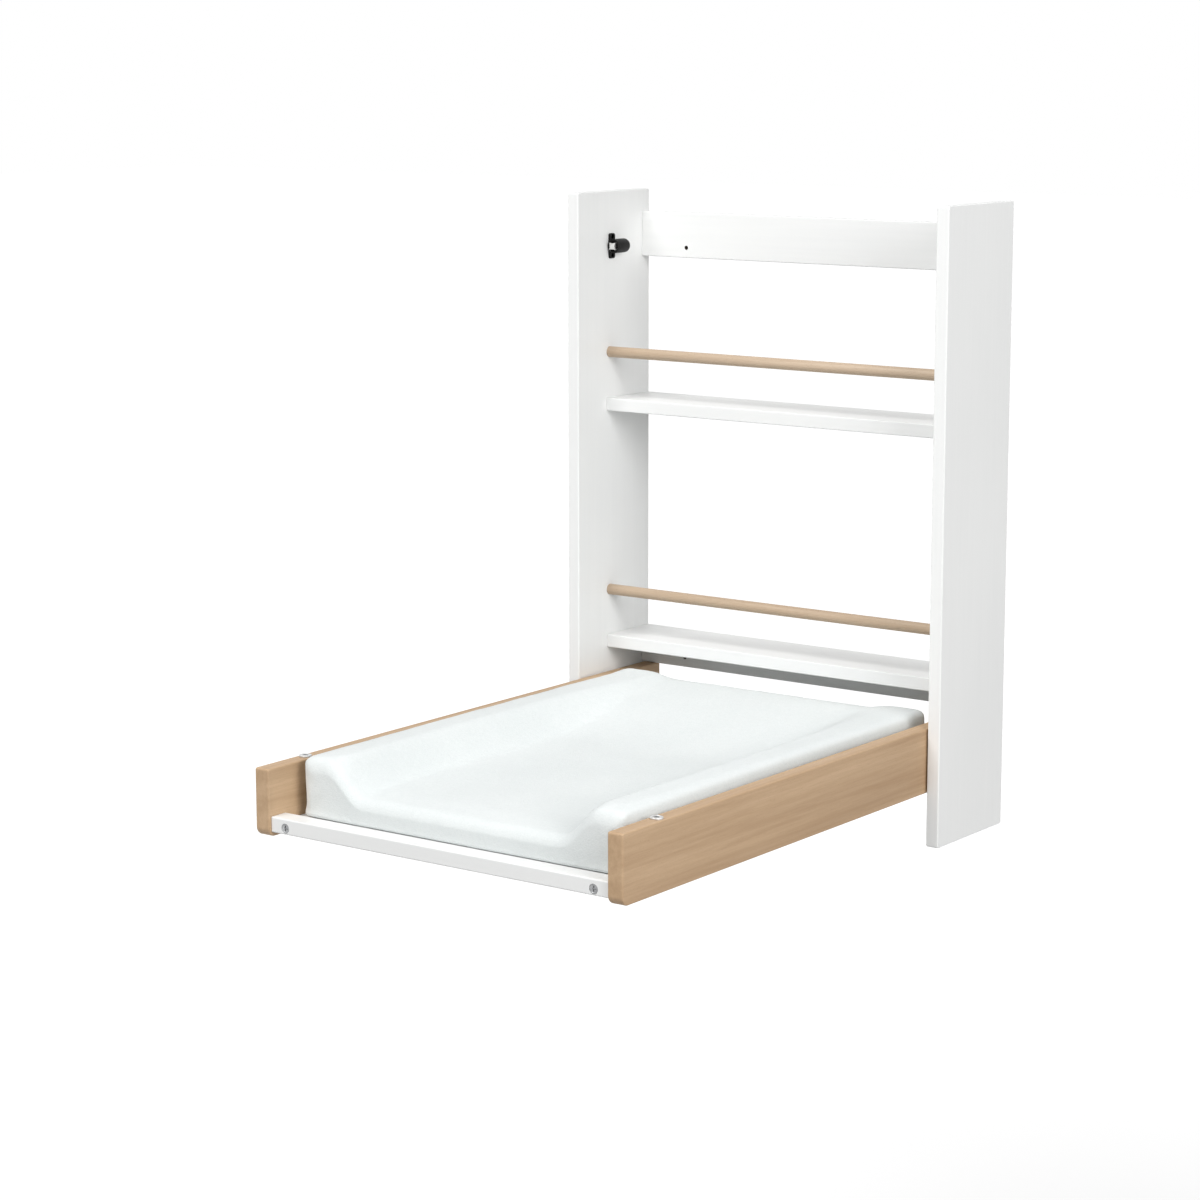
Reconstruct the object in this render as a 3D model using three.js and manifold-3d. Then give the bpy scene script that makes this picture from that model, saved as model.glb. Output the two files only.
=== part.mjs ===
// Wall-hung folding changing table: two side panels with shelves and dowel rails,
// and a beech-sided tray with a contoured mat that folds up against them.
// Millimetres, X to the right, Y towards the wall, Z up.
// The origin is the centre of the top wall rail's back face, on the wall.
import * as THREE from "three";
import { mergeVertices } from "three/addons/utils/BufferGeometryUtils.js";
import Module from "manifold-3d";

const wasm = await Module();
wasm.setup();

// Clearances
const fitGap = 0.3;
const runningGap = 0.15;
const cutOverrun = 2;

// Facets on round work
const dowelSides = 32;
const roundSides = 20;
const smallSides = 10;
const arcSteps = 4;
const boardEaseSteps = 1;
const trayEaseSteps = 2;

// Side panels, rails and shelves
const outerWidth = 600;
const boardThickness = 18;
const panelHeight = 832;
const panelCornerRadius = 3;
const boardEase = 1.2;
const topRailHeight = 63;
const topRailDrop = 31;
const shelfDepth = 102;
const lowerShelfHeight = 191;
const shelfPitch = 336;
const lowerRailHeight = 33.7;
const shelfEdgeRadius = 1.5;
const wallHoleDiameter = 6;
const wallHoleInset = 76;
const wallHoleRise = 14;

// Dowel rails
const dowelDiameter = 15;
const dowelRise = 64;
const dowelSocketDepth = 8;

// Tray
const trayClearance = 2.3;
const traySideThickness = 22;
const traySideHeight = 86;
const trayCornerRadius = 11;
const trayTopRadius = 3;
const trayEase = 2;
const trayRearGap = 6;
const pivotDrop = 26.2;
const pivotSetback = 36.3;
const shutGap = 3.5;
const barHeight = 20;
const barDepth = 27;
const barRise = 6;
const barSetback = 4;
const barEdgeRadius = 2;
const baseThickness = 8;
const baseRise = 9;
const grooveDepth = 7;

// Changing mat
const matSideGap = 9.7;
const matFrontGap = 15;
const matRearGap = 55;
const matBolsterHeight = 71.5;
const matRearHeight = 67;
const matCentreHeight = 31;
const matCrestInset = 16;
const matCrestWidth = 20;
const matBolsterWidth = 85;
const matRearRamp = 150;
const matFrontCornerRadius = 12;
const matRearCornerRadius = 40;
const matEdgeRadius = 16;

// Pivots
const pivotShoulderDiameter = 10;
const pivotThreadDiameter = 8;
const pivotHeadDiameter = 16;
const pivotHeadThickness = 5;
const pivotHeadSink = 0.8;
const pivotKeyFlats = 6;
const pivotKeyDepth = 3;
const insertWall = 2.2;
const insertSkin = 4.7;
const bushWall = 2;
const washerDiameter = 24;

// Cam connectors
const camDiameter = 12;
const camBelowBolt = 3.5;
const camSetback = 22.5;
const camSlotLength = 8;
const camSlotWidth = 1.8;
const camSlotDepth = 2.2;
const camBoltDiameter = 6;
const camBoltThread = 11;
const camBoltNeckDiameter = 4;
const camBoltHeadLength = 3;
const camBoltNeckLength = 3.5;
const barConnectorRise = 8;

// Push catches and their strikes
const catchDrop = 76;
const barrelDiameter = 19.5;
const barrelLength = 31;
const barrelEndRadius = 7;
const earHeight = 34.6;
const earWidth = 12;
const earThickness = 3;
const earSetback = 2;
const earScrewInset = 4;
const plungerTravel = 3;
const plungerHeadSize = 9.6;
const plungerHeadThickness = 3.5;
const plungerScallop = 0.7;
const plungerStemDiameter = 6;
const plungerStemLength = 15;
const strikeDiameter = 16;
const strikeThickness = 2;

// Countersunk screws
const catchScrewHead = 5.6;
const catchScrewShank = 3;
const catchScrewLength = 14;
const strikeScrewHead = 7;
const strikeScrewShank = 3.5;
const strikeScrewLength = 18;

// Places that follow from the sizes, measured from the panels' feet
const innerHalf = outerWidth / 2 - boardThickness;
const topRailBottom = panelHeight - topRailDrop - topRailHeight;
const upperShelfHeight = lowerShelfHeight + shelfPitch;
const lowerRailBottom = lowerShelfHeight - fitGap - lowerRailHeight;
const dowelY = -shelfDepth + dowelDiameter / 2;
const boltDepth = boardThickness / 2;
const shutPlane = -(shelfDepth + shutGap);
const pivotY = shutPlane - pivotDrop;
const pivotZ = lowerRailBottom - fitGap - pivotDrop;
const panelDepth = pivotSetback - pivotY;
const catchZ = panelHeight - catchDrop;
const plungerFront = shutPlane + fitGap + strikeThickness + fitGap;
const barrelFront = plungerFront + plungerTravel;
const barrelRadius = barrelDiameter / 2;
const barrelX = innerHalf - fitGap - barrelRadius;

// Places in the tray, measured from the pivot axis
const trayTop = pivotDrop;
const trayBottom = trayTop - traySideHeight;
const trayRear = -trayRearGap - pivotY;
const trayFront = trayRear - panelHeight;
const traySideOuter = innerHalf - trayClearance;
const traySideInner = traySideOuter - traySideThickness;
const barBottom = trayBottom + barRise;
const frontBarFront = trayFront + barSetback;
const frontBarBack = frontBarFront + barDepth;
const rearBarBack = trayRear - barSetback;
const rearBarFront = rearBarBack - barDepth;
const baseBottom = trayBottom + baseRise;
const baseTop = baseBottom + baseThickness;
const strikeY = -(catchZ - pivotZ);
const strikeX = (traySideInner + traySideOuter) / 2;

const sides = [
  { side: -1, word: "left" },
  { side: 1, word: "right" },
];

// Materials
function finish(color, roughness, metalness) {
  return new THREE.MeshStandardMaterial({ color, roughness, metalness });
}
const whiteLacquer = finish(0xf3f5f3, 0.45, 0);
const beech = finish(0xd0ab84, 0.55, 0);
const whiteCloth = finish(0xeef2f1, 0.85, 0);
const blackPlastic = finish(0x161616, 0.5, 0);
const whiteNylon = finish(0xe9e9e4, 0.5, 0);
const zinc = finish(0x8f9294, 0.4, 1);
const steel = finish(0xc3c6c8, 0.3, 1);
const blackSteel = finish(0x202020, 0.4, 1);

// Solids: closed three.js geometry to a solid that joins and cuts, and back
function solidOf(geometry) {
  const bare = geometry.clone();
  bare.deleteAttribute("normal");
  bare.deleteAttribute("uv");
  const merged = mergeVertices(bare);
  const corners = [];
  for (let i = 0; i < merged.index.count; i += 3) {
    const triangle = [0, 1, 2].map((k) => merged.index.getX(i + k));
    if (new Set(triangle).size === 3) {
      corners.push(...triangle);
    }
  }
  return new wasm.Manifold(new wasm.Mesh({
    numProp: 3,
    vertProperties: new Float32Array(merged.attributes.position.array),
    triVerts: new Uint32Array(corners),
  }));
}

function geometryOf(solid) {
  const mesh = solid.getMesh();
  const geometry = new THREE.BufferGeometry();
  geometry.setAttribute("position", new THREE.BufferAttribute(mesh.vertProperties, 3));
  geometry.setIndex(new THREE.BufferAttribute(mesh.triVerts, 1));
  geometry.computeVertexNormals();
  return geometry;
}

function addPiece(parent, name, solid, material) {
  const mesh = new THREE.Mesh(geometryOf(solid), material);
  mesh.name = name;
  parent.add(mesh);
  return mesh;
}

function point(x, y, z) {
  return new THREE.Vector3(x, y, z);
}

const axisX = point(1, 0, 0);
const axisY = point(0, 1, 0);
const axisZ = point(0, 0, 1);

// A box between two opposite corners
function block(low, high) {
  const size = high.clone().sub(low);
  const centre = low.clone().add(high).divideScalar(2);
  const geometry = new THREE.BoxGeometry(size.x, size.y, size.z);
  return solidOf(geometry.translate(centre.x, centre.y, centre.z));
}

// A round rod between two points
function rod(diameter, start, end, facets = smallSides) {
  const along = end.clone().sub(start);
  const centre = start.clone().add(end).divideScalar(2);
  const geometry = new THREE.CylinderGeometry(diameter / 2, diameter / 2, along.length(), facets);
  geometry.applyQuaternion(new THREE.Quaternion().setFromUnitVectors(axisY, along.normalize()));
  return solidOf(geometry.translate(centre.x, centre.y, centre.z));
}

// A turned piece: radius and distance pairs, along a direction from a start point
function turned(profile, start, direction, facets = roundSides) {
  const geometry = new THREE.LatheGeometry(profile, facets);
  geometry.applyQuaternion(new THREE.Quaternion().setFromUnitVectors(axisY, direction));
  return solidOf(geometry.translate(start.x, start.y, start.z));
}

function station(diameter, along) {
  return new THREE.Vector2(diameter / 2, along);
}

// A rectangle with a radius for each corner: low-low, high-low, high-high, low-high
function roundedRectangle(x0, y0, x1, y1, radii) {
  const [r00, r10, r11, r01] = radii;
  const shape = new THREE.Shape();
  shape.moveTo(x0 + r00, y0);
  shape.lineTo(x1 - r10, y0);
  shape.absarc(x1 - r10, y0 + r10, r10, -Math.PI / 2, 0);
  shape.lineTo(x1, y1 - r11);
  shape.absarc(x1 - r11, y1 - r11, r11, 0, Math.PI / 2);
  shape.lineTo(x0 + r01, y1);
  shape.absarc(x0 + r01, y1 - r01, r01, Math.PI / 2, Math.PI);
  shape.lineTo(x0, y0 + r00);
  shape.absarc(x0 + r00, y0 + r00, r00, Math.PI, Math.PI * 1.5);
  return shape;
}

// An outline pushed through a length, with its arrises eased
function extruded(shape, length, ease = 0, easeSteps = 1) {
  const geometry = new THREE.ExtrudeGeometry(shape, {
    depth: length - 2 * ease,
    curveSegments: arcSteps,
    bevelEnabled: ease > 0,
    bevelThickness: ease,
    bevelSize: ease,
    bevelOffset: -ease,
    bevelSegments: easeSteps,
  });
  return geometry.translate(0, 0, ease);
}

// An outline drawn in Y and Z, pushed along X from a start
function alongX(shape, start, length, ease = 0, easeSteps = 1) {
  const turn = new THREE.Matrix4().makeBasis(axisY, axisZ, axisX);
  return solidOf(extruded(shape, length, ease, easeSteps).applyMatrix4(turn).translate(start, 0, 0));
}

// An outline drawn in X and Z, pushed along -Y from a start
function alongMinusY(shape, start, length) {
  const turn = new THREE.Matrix4().makeBasis(axisX, axisZ, axisY.clone().negate());
  return solidOf(extruded(shape, length).applyMatrix4(turn).translate(0, start, 0));
}

// A straight cross member between two facing boards
function crossMember(y0, y1, z0, z1, halfSpan, radius) {
  const outline = roundedRectangle(y0, z0, y1, z1, [radius, radius, radius, radius]);
  const length = 2 * (halfSpan - fitGap);
  return alongX(outline, -length / 2, length);
}

function cutAll(solid, cutters) {
  return cutters.reduce((left, cutter) => left.subtract(cutter), solid);
}

// Countersunk screw, with its head flush at the start and its point along the direction
function countersunkScrew(head, shank, length, start, direction, clearance = 0) {
  const cone = (head - shank) / 2;
  const tip = shank;
  return turned([
    station(0, -clearance),
    station(head + 2 * clearance, -clearance),
    station(head + 2 * clearance, clearance),
    station(shank + 2 * clearance, cone + clearance),
    station(shank + 2 * clearance, length - tip + clearance),
    station(0, length + clearance),
  ], start, direction, smallSides);
}

// Cam connector: a bolt in one board drawn up by a cam nut in the other.
// Its own frame has X from the joint face into the drilled board, and Z out of the cam's face.
function camNut() {
  const face = boltDepth - fitGap;
  const foot = -camBelowBolt;
  const centre = camSetback;
  const body = rod(camDiameter, point(centre, 0, foot), point(centre, 0, face), roundSides);
  const pocket = rod(camBoltDiameter + 4 * fitGap, point(0, 0, 0), point(centre + camBoltHeadLength, 0, 0));
  const half = camSlotLength / 2;
  const halfWidth = camSlotWidth / 2;
  const slotFloor = face - camSlotDepth;
  const slots = [
    block(point(centre - half, -halfWidth, slotFloor), point(centre + half, halfWidth, face + cutOverrun)),
    block(point(centre - halfWidth, -half, slotFloor), point(centre + halfWidth, half, face + cutOverrun)),
  ];
  return cutAll(body, [pocket, ...slots]);
}

function camBolt() {
  const headEnd = camSetback + camBoltHeadLength / 2;
  const neckEnd = headEnd - camBoltHeadLength;
  const shankEnd = neckEnd - camBoltNeckLength;
  return turned([
    station(0, -camBoltThread),
    station(camBoltNeckDiameter, -camBoltThread),
    station(camBoltDiameter, -camBoltThread + camBoltNeckDiameter / 2),
    station(camBoltDiameter, shankEnd),
    station(camBoltNeckDiameter, shankEnd),
    station(camBoltNeckDiameter, neckEnd),
    station(camBoltDiameter, neckEnd),
    station(camBoltDiameter, headEnd),
    station(0, headEnd),
  ], point(0, 0, 0), axisX, smallSides);
}

function camBore() {
  const floor = -camBelowBolt - fitGap;
  const mouth = boltDepth + cutOverrun;
  const wellDiameter = camDiameter + 2 * fitGap;
  const well = rod(wellDiameter, point(camSetback, 0, floor), point(camSetback, 0, mouth), roundSides);
  const passage = rod(camBoltDiameter + 2 * fitGap, point(-cutOverrun, 0, 0), point(camSetback, 0, 0));
  return well.add(passage);
}

function boltBore() {
  return rod(camBoltDiameter + 2 * fitGap, point(-camBoltThread - fitGap, 0, 0), point(cutOverrun, 0, 0));
}

const camNutShape = geometryOf(camNut());
const camBoltShape = geometryOf(camBolt());
const camBoreShape = geometryOf(camBore());
const boltBoreShape = geometryOf(boltBore());

function connector(parent, name, joint, inward, camOutward) {
  const across = camOutward.clone().cross(inward);
  const holder = new THREE.Group();
  holder.applyMatrix4(new THREE.Matrix4().makeBasis(inward, across, camOutward).setPosition(joint));
  holder.updateMatrix();
  const nut = new THREE.Mesh(camNutShape, zinc);
  nut.name = `${name}_cam_nut`;
  const bolt = new THREE.Mesh(camBoltShape, steel);
  bolt.name = `${name}_cam_bolt`;
  holder.add(nut, bolt);
  parent.add(holder);
  return {
    memberCut: solidOf(camBoreShape.clone().applyMatrix4(holder.matrix)),
    postCut: solidOf(boltBoreShape.clone().applyMatrix4(holder.matrix)),
  };
}

// A connector at each end of a member, with the cuts sorted by the board that takes them
function connectorPair(parent, name, halfSpan, y, z, camOutward) {
  const cuts = { member: [], left: [], right: [] };
  for (const { side, word } of sides) {
    const joint = point(side * halfSpan, y, z);
    const inward = point(-side, 0, 0);
    const { memberCut, postCut } = connector(parent, `${name}_${word}`, joint, inward, camOutward);
    cuts.member.push(memberCut);
    cuts[word].push(postCut);
  }
  return cuts;
}

const root = new THREE.Group();
root.name = "folding_changing_table";

// The wall frame stands with its panels' feet at zero height inside this group
const unit = new THREE.Group();
unit.position.z = -(topRailBottom + topRailHeight / 2);
root.add(unit);

const panelCuts = { left: [], right: [] };

function shareCuts(cuts) {
  panelCuts.left.push(...cuts.left);
  panelCuts.right.push(...cuts.right);
}

// Wall rails, flush with the panels' back edges, each with two wall screw holes
function wallRail(name, bottom, height) {
  const top = bottom + height;
  const rail = crossMember(-boardThickness, 0, bottom, top, innerHalf, shelfEdgeRadius);
  const cuts = connectorPair(unit, name, innerHalf, -boltDepth, bottom + height / 2, axisY);
  const holes = sides.map(({ side }) => {
    const x = side * (innerHalf - wallHoleInset);
    const z = bottom + wallHoleRise;
    const front = point(x, -boardThickness - cutOverrun, z);
    return rod(wallHoleDiameter, front, point(x, cutOverrun, z), roundSides);
  });
  shareCuts(cuts);
  addPiece(unit, name, cutAll(rail, [...cuts.member, ...holes]), whiteLacquer);
}
wallRail("top_wall_rail", topRailBottom, topRailHeight);
wallRail("bottom_wall_rail", lowerRailBottom, lowerRailHeight);

// Shelves, drawn up from underneath, and the beech dowel that guards each front edge
function shelf(word, bottom) {
  const top = bottom + boardThickness;
  const plain = crossMember(-shelfDepth, 0, bottom, top, innerHalf, shelfEdgeRadius);
  const below = axisZ.clone().negate();
  const cuts = connectorPair(unit, `${word}_shelf`, innerHalf, -shelfDepth / 2, bottom + boltDepth, below);
  shareCuts(cuts);
  addPiece(unit, `${word}_shelf`, cutAll(plain, cuts.member), whiteLacquer);

  const dowelZ = top + dowelRise;
  const dowelEnd = innerHalf + dowelSocketDepth - fitGap;
  const leftEnd = point(-dowelEnd, dowelY, dowelZ);
  const dowel = rod(dowelDiameter, leftEnd, point(dowelEnd, dowelY, dowelZ), dowelSides);
  addPiece(unit, `${word}_dowel_rail`, dowel, beech);
  for (const { side, word: hand } of sides) {
    const mouth = point(side * (innerHalf - cutOverrun), dowelY, dowelZ);
    const floor = point(side * (innerHalf + dowelSocketDepth), dowelY, dowelZ);
    panelCuts[hand].push(rod(dowelDiameter + 2 * runningGap, mouth, floor, roundSides));
  }
}
shelf("lower", lowerShelfHeight);
shelf("upper", upperShelfHeight);

// Push catch on a panel's inner face: a barrel with screw ears and a sprung plunger
function catchBarrel(side) {
  const front = point(side * barrelX, barrelFront, catchZ);
  const shell = new THREE.Path();
  shell.moveTo(0, 0);
  shell.lineTo(barrelRadius, 0);
  const straight = barrelLength - barrelEndRadius;
  shell.lineTo(barrelRadius, straight);
  shell.absarc(barrelRadius - barrelEndRadius, straight, barrelEndRadius, 0, Math.PI / 2);
  shell.lineTo(0, barrelLength);
  const barrel = turned(shell.getPoints(arcSteps), front, axisY);

  const earRadius = earWidth / 2;
  const ears = roundedRectangle(
    barrelFront + earSetback, catchZ - earHeight / 2,
    barrelFront + earSetback + earWidth, catchZ + earHeight / 2,
    [earRadius / 2, earRadius / 2, earRadius / 2, earRadius / 2],
  );
  const earFace = innerHalf - fitGap - earThickness;
  const earStart = side > 0 ? earFace : -(earFace + earThickness);
  const plate = alongX(ears, earStart, earThickness);

  const headDiagonal = plungerHeadSize * Math.SQRT2 + 2 * fitGap;
  const pocketDepth = plungerHeadThickness + fitGap;
  const stemDepth = plungerHeadThickness + plungerStemLength + fitGap;
  const pocket = rod(headDiagonal, front.clone().addScaledVector(axisY, -cutOverrun),
    front.clone().addScaledVector(axisY, pocketDepth), roundSides);
  const stemFloor = front.clone().addScaledVector(axisY, stemDepth);
  const stemBore = rod(plungerStemDiameter + 2 * fitGap, front, stemFloor);
  return cutAll(barrel.add(plate), [pocket, stemBore]);
}

// Plunger with a square magnet head whose four sides are scalloped
function catchPlunger(side) {
  const half = plungerHeadSize / 2;
  const waist = half - 2 * plungerScallop;
  const outline = new THREE.Shape();
  outline.moveTo(-half, -half);
  outline.quadraticCurveTo(0, -waist, half, -half);
  outline.quadraticCurveTo(waist, 0, half, half);
  outline.quadraticCurveTo(0, waist, -half, half);
  outline.quadraticCurveTo(-waist, 0, -half, -half);
  const back = plungerFront + plungerHeadThickness;
  const head = alongMinusY(outline, 0, plungerHeadThickness);
  const stem = rod(plungerStemDiameter, point(0, -fitGap, 0), point(0, plungerStemLength, 0));
  return solidOf(geometryOf(head.add(stem)).translate(side * barrelX, back, catchZ));
}

for (const { side, word } of sides) {
  const outward = point(side, 0, 0);
  const earFace = side * (innerHalf - fitGap - earThickness);
  const screwY = barrelFront + earSetback + earWidth / 2;
  const housingCuts = [];
  for (const [level, direction] of [["upper", 1], ["lower", -1]]) {
    const start = point(earFace, screwY, catchZ + direction * (earHeight / 2 - earScrewInset));
    const sizes = [catchScrewHead, catchScrewShank, catchScrewLength];
    const clearance = countersunkScrew(...sizes, start, outward, fitGap);
    addPiece(unit, `${word}_catch_screw_${level}`, countersunkScrew(...sizes, start, outward), blackSteel);
    housingCuts.push(clearance);
    const pilotEnd = start.clone().addScaledVector(outward, catchScrewLength + fitGap);
    panelCuts[word].push(rod(catchScrewShank + 2 * fitGap, start, pilotEnd));
  }
  addPiece(unit, `${word}_catch_housing`, cutAll(catchBarrel(side), housingCuts), blackPlastic);
  addPiece(unit, `${word}_catch_plunger`, catchPlunger(side), steel);
}

// Pivots: a shoulder bolt through each tray side, screwed into an insert in the panel
const headOuter = traySideInner + pivotHeadSink + pivotHeadThickness;
const insertLength = boardThickness - insertSkin;
const insertDiameter = pivotThreadDiameter + 2 * (fitGap + insertWall);
const bushDiameter = pivotShoulderDiameter + 2 * (runningGap + bushWall);

for (const { side, word } of sides) {
  const outward = point(side, 0, 0);
  const axisPoint = (x) => point(side * x, pivotY, pivotZ);
  const headStart = headOuter - pivotHeadThickness;
  const shoulderEnd = innerHalf - fitGap;
  const threadEnd = innerHalf + insertLength - fitGap;
  const bolt = turned([
    station(0, 0),
    station(pivotHeadDiameter, 0),
    station(pivotHeadDiameter, pivotHeadThickness),
    station(pivotShoulderDiameter, pivotHeadThickness),
    station(pivotShoulderDiameter, shoulderEnd - headStart),
    station(pivotThreadDiameter, shoulderEnd - headStart),
    station(pivotThreadDiameter, threadEnd - headStart),
    station(0, threadEnd - headStart),
  ], axisPoint(headStart), outward);
  const keyCorner = pivotKeyFlats / Math.cos(Math.PI / 6);
  const hexagon = 6;
  const keyFloor = axisPoint(headStart + pivotKeyDepth);
  const key = rod(keyCorner, axisPoint(headStart - cutOverrun), keyFloor, hexagon);
  addPiece(unit, `${word}_pivot_bolt`, bolt.subtract(key), steel);

  const threadBore = pivotThreadDiameter + 2 * fitGap;
  const insert = turned([
    station(threadBore, 0),
    station(insertDiameter, 0),
    station(insertDiameter, insertLength),
    station(threadBore, insertLength),
    station(threadBore, 0),
  ], axisPoint(innerHalf), outward);
  addPiece(unit, `${word}_pivot_insert`, insert, zinc);
  const insertBore = insertDiameter + 2 * fitGap;
  const insertFloor = axisPoint(innerHalf + insertLength + fitGap);
  panelCuts[word].push(rod(insertBore, axisPoint(innerHalf - cutOverrun), insertFloor, roundSides));

  const shoulderBore = pivotShoulderDiameter + 2 * runningGap;
  const washerThickness = trayClearance - 2 * fitGap;
  const washer = turned([
    station(shoulderBore, 0),
    station(washerDiameter, 0),
    station(washerDiameter, washerThickness),
    station(shoulderBore, washerThickness),
    station(shoulderBore, 0),
  ], axisPoint(innerHalf - fitGap - washerThickness), outward);
  addPiece(unit, `${word}_pivot_washer`, washer, whiteNylon);
}

// Side panels, drilled on their inner faces only
for (const { side, word } of sides) {
  const r = panelCornerRadius;
  const outline = roundedRectangle(-panelDepth, 0, 0, panelHeight, [r, r, r, r]);
  const start = side > 0 ? innerHalf : -innerHalf - boardThickness;
  const board = alongX(outline, start, boardThickness, boardEase, boardEaseSteps);
  addPiece(unit, `${word}_side_panel`, cutAll(board, panelCuts[word]), whiteLacquer);
}

// The tray turns about this group's X axis
const tray = new THREE.Group();
tray.position.set(0, pivotY, pivotZ);
unit.add(tray);

const traySideCuts = { left: [], right: [] };

// Cross bars that tie the tray sides, grooved for the base panel
function trayBar(name, y0, y1, camOutward) {
  const bar = crossMember(y0, y1, barBottom, barBottom + barHeight, traySideInner, barEdgeRadius);
  const faceY = camOutward.y < 0 ? y0 : y1;
  const boltY = faceY - camOutward.y * boltDepth;
  const grooveFace = camOutward.y < 0 ? y1 : y0;
  const grooveFloor = grooveFace + camOutward.y * grooveDepth;
  const grooveMouth = grooveFace - camOutward.y * cutOverrun;
  const groove = block(
    point(-traySideInner, Math.min(grooveFloor, grooveMouth), baseBottom - fitGap),
    point(traySideInner, Math.max(grooveFloor, grooveMouth), baseTop + fitGap),
  );
  const cuts = connectorPair(tray, name, traySideInner, boltY, barBottom + barConnectorRise, camOutward);
  traySideCuts.left.push(...cuts.left);
  traySideCuts.right.push(...cuts.right);
  addPiece(tray, name, cutAll(bar, [...cuts.member, groove]), whiteLacquer);
}
trayBar("tray_front_bar", frontBarFront, frontBarBack, axisY.clone().negate());
trayBar("tray_rear_bar", rearBarFront, rearBarBack, axisY);

// Base panel, held all round in grooves
const baseHalf = traySideInner + grooveDepth - fitGap;
const baseFront = frontBarBack - grooveDepth + fitGap;
const baseBack = rearBarFront + grooveDepth - fitGap;
const basePanel = block(point(-baseHalf, baseFront, baseBottom), point(baseHalf, baseBack, baseTop));
addPiece(tray, "tray_base_panel", basePanel, whiteLacquer);

// Beech sides, with the corners that meet a hand rounded off
for (const { side, word } of sides) {
  const outline = roundedRectangle(
    trayFront, trayBottom, trayRear, trayTop,
    [trayCornerRadius, trayCornerRadius, trayTopRadius, trayTopRadius],
  );
  const start = side > 0 ? traySideInner : -traySideOuter;
  const board = alongX(outline, start, traySideThickness, trayEase, trayEaseSteps);

  const onAxis = (x) => point(side * x, 0, 0);
  const headWell = rod(pivotHeadDiameter + 2 * fitGap, onAxis(traySideInner - cutOverrun),
    onAxis(headOuter + fitGap), roundSides);
  const bushBore = rod(bushDiameter + 2 * runningGap, onAxis(traySideInner),
    onAxis(traySideOuter + cutOverrun), roundSides);

  const grooveEdges = [side * (traySideInner - cutOverrun), side * (traySideInner + grooveDepth)];
  const groove = block(
    point(Math.min(...grooveEdges), frontBarBack - grooveDepth, baseBottom - fitGap),
    point(Math.max(...grooveEdges), rearBarFront + grooveDepth, baseTop + fitGap),
  );

  const down = axisZ.clone().negate();
  const strikeFace = trayTop + fitGap + strikeThickness;
  const screwStart = point(side * strikeX, strikeY, strikeFace);
  const screwSizes = [strikeScrewHead, strikeScrewShank, strikeScrewLength];
  const screwHole = countersunkScrew(...screwSizes, screwStart, down, fitGap);

  const cuts = [headWell, bushBore, groove, screwHole, ...traySideCuts[word]];
  addPiece(tray, `${word}_tray_side`, cutAll(board, cuts), beech);

  const shoulderBore = pivotShoulderDiameter + 2 * runningGap;
  const bushStart = headOuter + 2 * fitGap;
  const bushLength = traySideOuter - fitGap - bushStart;
  const bush = turned([
    station(shoulderBore, 0),
    station(bushDiameter, 0),
    station(bushDiameter, bushLength),
    station(shoulderBore, bushLength),
    station(shoulderBore, 0),
  ], onAxis(bushStart), point(side, 0, 0));
  addPiece(tray, `${word}_pivot_bush`, bush, whiteNylon);

  const discFoot = point(side * strikeX, strikeY, trayTop + fitGap);
  const disc = rod(strikeDiameter, discFoot, screwStart, roundSides);
  addPiece(tray, `${word}_strike_disc`, disc.subtract(screwHole), steel);
  const screw = countersunkScrew(...screwSizes, screwStart, down);
  addPiece(tray, `${word}_strike_screw`, screw, zinc);
}

// Changing mat: raised along both sides and at the wall end, low at the front
const matHalf = traySideInner - matSideGap;
const matFoot = baseTop + fitGap;
const matFront = frontBarBack + matFrontGap;
const matBack = rearBarFront - matRearGap;
const matLength = matBack - matFront;

function matCrossSection() {
  const crest = matFoot + matBolsterHeight;
  const centre = matFoot + matCentreHeight;
  const crestX = matHalf - matCrestInset;
  const crestInnerX = crestX - matCrestWidth;
  const valleyX = matHalf - matBolsterWidth;
  const slopeX = (crestInnerX + valleyX) / 2;
  const outline = new THREE.Shape();
  outline.moveTo(-matHalf, matFoot);
  outline.lineTo(matHalf, matFoot);
  outline.lineTo(matHalf, crest - matEdgeRadius);
  outline.quadraticCurveTo(matHalf, crest, crestX, crest);
  outline.lineTo(crestInnerX, crest);
  outline.bezierCurveTo(slopeX, crest, slopeX, centre, valleyX, centre);
  outline.lineTo(-valleyX, centre);
  outline.bezierCurveTo(-slopeX, centre, -slopeX, crest, -crestInnerX, crest);
  outline.lineTo(-crestX, crest);
  outline.quadraticCurveTo(-matHalf, crest, -matHalf, crest - matEdgeRadius);
  return outline;
}

function matRearSection() {
  const crest = matFoot + matRearHeight;
  const centre = matFoot + matCentreHeight;
  const crestY = matBack - matCrestInset;
  const rampFoot = crestY - matRearRamp;
  const rampMiddle = (crestY + rampFoot) / 2;
  const outline = new THREE.Shape();
  outline.moveTo(rampFoot, matFoot);
  outline.lineTo(matBack, matFoot);
  outline.lineTo(matBack, crest - matEdgeRadius);
  outline.quadraticCurveTo(matBack, crest, crestY, crest);
  outline.bezierCurveTo(rampMiddle, crest, rampMiddle, centre, rampFoot, centre);
  return outline;
}

function matSideView() {
  const crest = matFoot + matBolsterHeight;
  const radius = matEdgeRadius;
  return roundedRectangle(matFront, matFoot, matBack, crest + fitGap, [0, 0, radius, radius]);
}

function matPlan() {
  const front = matFrontCornerRadius;
  const rear = matRearCornerRadius;
  return roundedRectangle(-matHalf, matFront, matHalf, matBack, [front, front, rear, rear]);
}

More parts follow.
